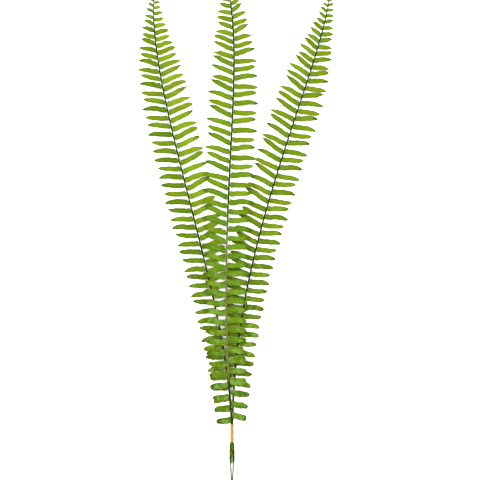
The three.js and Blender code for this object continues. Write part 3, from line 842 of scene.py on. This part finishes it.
def growBasal(frond):
    parts = []
    facing = math.pi / 2 if frond["seat"] == 0 else (math.pi if frond["seat"] < 0 else 0)
    spread = basal["laneTurn"]["top" if frond["seat"] == 0 else "side"]
    u = np.array([0, 0.08, 0.2, 0.35, 0.5, 0.65, 0.78, 0.89, 0.96, 1])
    v = np.array([-1, -0.7, -0.35, 0, 0.35, 0.7, 1])
    for row in range(basal["rows"]):
        for lane in (-1, 1):
            index = row * 2 + (lane > 0)
            size = 1 + 0.16 * uneven(index, 61 + frond["layer"])
            length, width = basal["length"] * size, basal["width"] * size
            # rows start at the lower end and each one lies on the next one up
            at = -growth["tapeWidth"] - 0.4 - basal["stretch"] + (row + (lane > 0) * 0.5) * (
                (basal["stretch"] - length * 0.95) / (basal["rows"] - 0.5))
            turn = facing + lane * spread + 0.2 * uneven(index, 67)
            middle = midribPoint(frond, at)
            reach = at + length * u
            lean = 0.2 * uneven(index, 71) * u
            halfTurn = width * 0.5 * np.sqrt(np.clip(u, 0.02, 1)) * np.clip(1 - u ** 3, 0, 1) ** 0.6 * 1.15
            halfTurn = np.maximum(halfTurn, 0.12)
            outTo = growth["stemRadius"] + 0.22 + 0.62 * np.sin(u * math.pi * 0.62) + 0.45 * smooth(u, 0.6, 1)
            sheets = []
            for face in (1, -1):
                around = turn + lean[:, None] + (halfTurn / (outTo + 0.1))[:, None] * v[None, :]
                crown = basal["crown"] * (1 - v ** 2)[None, :] - 0.12 * np.exp(-((v / 0.18) ** 2))[None, :]
                radius = outTo[:, None] + crown + face * basal["halfThick"] * (1 - 0.4 * v ** 4)[None, :]
                xs, zs = middle[0] + radius * np.cos(around), middle[2] + radius * np.sin(around)
                ys = np.repeat(reach[:, None], len(v), axis=1)
                sheets.append(np.stack([xs, ys, zs], -1).reshape(-1, 3))
            points = np.concatenate(sheets)
            points[:, 2] = np.maximum(points[:, 2], growth["groundClear"])
            rows, columns = len(u), len(v)
            count = rows * columns
            grid = np.arange(count).reshape(rows, columns)
            quads = np.stack([grid[:-1, :-1], grid[:-1, 1:], grid[1:, 1:], grid[1:, :-1]], -1).reshape(-1, 4)
            faces = [quads[:, ::-1], quads + count]
            for line, flip in ((grid[:, 0], True), (grid[:, -1], False), (grid[0], False), (grid[-1], True)):
                rim = np.stack([line[:-1], line[:-1] + count, line[1:] + count, line[1:]], -1)
                faces.append(rim[:, ::-1] if flip else rim)
            blades = np.tile(np.stack([np.repeat(u * length / 10, columns), np.tile(v, rows)], -1), (2, 1))
            grown = np.stack([np.tile(np.repeat(u, columns), 2), np.repeat([0, 1], count)], -1)
            tones = np.tile([0.45 + 0.3 * uneven(index, 73), 0.5], (2 * count, 1))
            maps = {"blade": blades, "growth": grown, "tone": tones}
            parts.append((points, np.concatenate(faces)[:, ::-1], maps))
    return joinParts(parts)


basalGreen = basalMaterial()
for frond in fronds:
    points, faces, maps = growBasal(frond)
    node = f"{frond['name']}_basal_leaflets"
    makePiece(f"{node}_cluster", points, faces.tolist(), maps, [basalGreen], [node])
print("basal leaflets made")

# Tape, wound up the three stems so that every turn laps over the one below
tape = {
    "turnRise": 8.6,         # how far the tape climbs in one turn
    "lap": 0.22,             # step at an overlapping edge
    "wrinkle": 0.05,
    "ragged": 0.16,          # waviness of the two ends of the band
    "edgeRound": 0.35,
    "aroundSteps": 66,
    "alongSteps": 84,
    "tan": paint(108, 85, 44),
    "paleTan": paint(128, 102, 58),
    # dark tan, for random blotches and for the painted shade along each lapped edge
    "mottleAndLapShade": paint(76, 56, 27),
    "lowerEnd": paint(64, 54, 20),
}


def tapeMaterial():
    # map "wrap" is the turn about the stems and the millimetres up the band
    f = Finish("tan_stem_tape")
    turn, up = f.map("wrap")
    crepe = f.noise(1500.0, 4.0, 0.65, (1.0, 2.4, 1.0))
    blotch = f.noise(260.0, 3.0)
    phase = f.sums("FRACT", f.sums("SUBTRACT", f.sums("DIVIDE", up, tape["turnRise"]), turn))
    lapLine = f.sums("MAXIMUM", f.window(phase, 0.05, 0.0), f.window(phase, 0.97, 1.0))
    color = f.ramp(crepe, (0.3, tape["tan"]), (0.7, tape["paleTan"]))
    color = f.blend(f.scaled(f.window(blotch, 0.5, 0.75), 0.3), color, tape["mottleAndLapShade"])
    # painted shade along the lapped edge of every turn
    color = f.blend(f.scaled(lapLine, 0.4), color, tape["mottleAndLapShade"])
    lowerEdge = -float(growth["tapeWidth"])
    color = f.blend(f.scaled(f.window(up, lowerEdge + 2.0, lowerEdge), 0.7), color, tape["lowerEnd"])
    roughness = f.sums("ADD", f.scaled(crepe, 0.2), 0.55)
    return f.finish(color, roughness, f.bump(crepe, 0.55, 0.00012), Specular_IOR_Level=0.01)


def bundleRing(radius, steps):
    # points and outward directions round the three stems, evenly stepped
    seats = np.array([[-stemSpacing / 2, lowSeat], [stemSpacing / 2, lowSeat], [0, highSeat]])
    places, outs = [], []
    for index, seat in enumerate(seats):
        start = 5 * math.pi / 6 + index * 2 * math.pi / 3
        for angle in np.linspace(start, start + 2 * math.pi / 3, 13):
            out = np.array([math.cos(angle), math.sin(angle)])
            places.append(seat + out * radius)
            outs.append(out)
    places, outs = np.array(places + places[:1]), np.array(outs + outs[:1])
    walked = np.concatenate([[0], np.cumsum(np.linalg.norm(np.diff(places, axis=0), axis=1))])
    marks = np.linspace(0, walked[-1], steps, endpoint=False)
    ringPlaces = np.stack([np.interp(marks, walked, places[:, k]) for k in (0, 1)], -1)
    ringOuts = np.stack([np.interp(marks, walked, outs[:, k]) for k in (0, 1)], -1)
    return ringPlaces, ringOuts / np.linalg.norm(ringOuts, axis=1)[:, None], marks / walked[-1]


def growTape():
    steps, levels = tape["aroundSteps"], tape["alongSteps"]
    inner = growth["stemRadius"] + growth["tapeGap"]
    places, outs, turns = bundleRing(inner, steps)
    rings, wraps = [], []
    heights = np.linspace(-growth["tapeWidth"], 0, levels)
    for height in heights:
        phase = np.mod(height / tape["turnRise"] - turns, 1)
        step = tape["lap"] * (1 - phase) * smooth(phase, 0, 0.035)
        crease = tape["wrinkle"] * (np.sin(height * 1.9 + 5 * turns * 2 * math.pi)
                                    + 0.7 * np.sin(height * 0.7 - 3 * turns * 2 * math.pi))
        fromEnd = min(height + growth["tapeWidth"], -height)
        edge = min(1, fromEnd / tape["edgeRound"])
        thick = (growth["tapeWall"] * 0.5 + step + crease * 0.6) * mix(0.6, 1, edge)
        ring = places + outs * thick[:, None]
        ragged = tape["ragged"] * np.sin(7 * turns * 2 * math.pi) * (1 - min(1, fromEnd / 2))
        rings.append(np.stack([ring[:, 0], height + ragged * 0.5, ring[:, 1]], -1))
        wraps.append(np.stack([turns, np.full(steps, height)], -1))
    for height in heights[::-1]:
        rings.append(np.stack([places[:, 0], np.full(steps, height), places[:, 1]], -1))
        wraps.append(np.stack([turns, np.full(steps, height)], -1))
    faces = []
    total = len(rings)
    for ring in range(total):
        following = (ring + 1) % total
        for k in range(steps):
            beside = (k + 1) % steps
            faces.append([ring * steps + k, ring * steps + beside,
                          following * steps + beside, following * steps + k])
    points = np.concatenate(rings)
    points[:, 2] = np.maximum(points[:, 2], growth["groundClear"])
    return points, [face[::-1] for face in faces], {"wrap": np.concatenate(wraps)}


points, faces, maps = growTape()
makePiece("binding_tape_wound", points, faces, maps, [tapeMaterial()], ["binding_tape"], crease=60)
print("tape wound")

# Table top, soft light and a camera looking straight down
studio = {
    "floorRadius": 14.0,     # in metres, as the camera height is
    "floorCorners": 64,
    "floorWhite": 0.96,
    "skyStrength": 2.1,
    "lens": 85.0,
    "sensorWidth": 36.0,
    "cameraHeight": 1.587,
    "aimRight": 11.2,        # of the middle of the tape, in millimetres
    "aimUp": 257.6,          # of the top edge of the tape
}


def floorMaterial():
    f = Finish("white_table_top")
    grain = f.noise(30.0, 2.0)
    white = studio["floorWhite"]
    color = f.ramp(grain, (0.3, (white, white, white)), (0.7, (white * 1.02, white * 1.02, white * 1.02)))
    return f.finish(color, 0.9, Specular_IOR_Level=0.0)


radius, angles = studio["floorRadius"], np.linspace(0, 2 * math.pi, studio["floorCorners"], endpoint=False)
rim = [(radius * math.cos(angle), radius * math.sin(angle), 0) for angle in angles]
floorMesh = bpy.data.meshes.new("table_top")
floorMesh.from_pydata(rim, [], [list(range(len(rim)))])
floorMesh.materials.append(floorMaterial())
floor = bpy.data.objects.new("table_top", floorMesh)
bpy.context.scene.collection.objects.link(floor)

world = bpy.data.worlds.new("soft_sky")
world.use_nodes = True
world.node_tree.nodes["Background"].inputs["Color"].default_value = (1, 1, 1, 1)
world.node_tree.nodes["Background"].inputs["Strength"].default_value = studio["skyStrength"]
bpy.context.scene.world = world

lamps = {
    "key_softbox": {"place": (-0.8, 0.9, 2.5), "size": 1.7, "power": 148},
    "fill_softbox": {"place": (1.2, -0.7, 2.4), "size": 2.4, "power": 50},
}
for name, lamp in lamps.items():
    light = bpy.data.lights.new(name, "AREA")
    light.shape, light.size, light.energy = "SQUARE", lamp["size"], lamp["power"]
    lampObject = bpy.data.objects.new(name, light)
    lampObject.location = lamp["place"]
    lampObject.rotation_euler = (-Vector(lamp["place"])).to_track_quat("-Z", "Y").to_euler()
    bpy.context.scene.collection.objects.link(lampObject)

cameraData = bpy.data.cameras.new("overhead_camera")
cameraData.lens, cameraData.sensor_width = studio["lens"], studio["sensorWidth"]
camera = bpy.data.objects.new("overhead_camera", cameraData)
camera.location = (tapeTop[0] + studio["aimRight"] * millimetre, tapeTop[1] + studio["aimUp"] * millimetre,
                   studio["cameraHeight"])
bpy.context.scene.collection.objects.link(camera)
bpy.context.scene.camera = camera
bpy.context.scene.view_settings.view_transform = "Standard"
print("table, lamps and camera set")

bpy.context.view_layer.update()
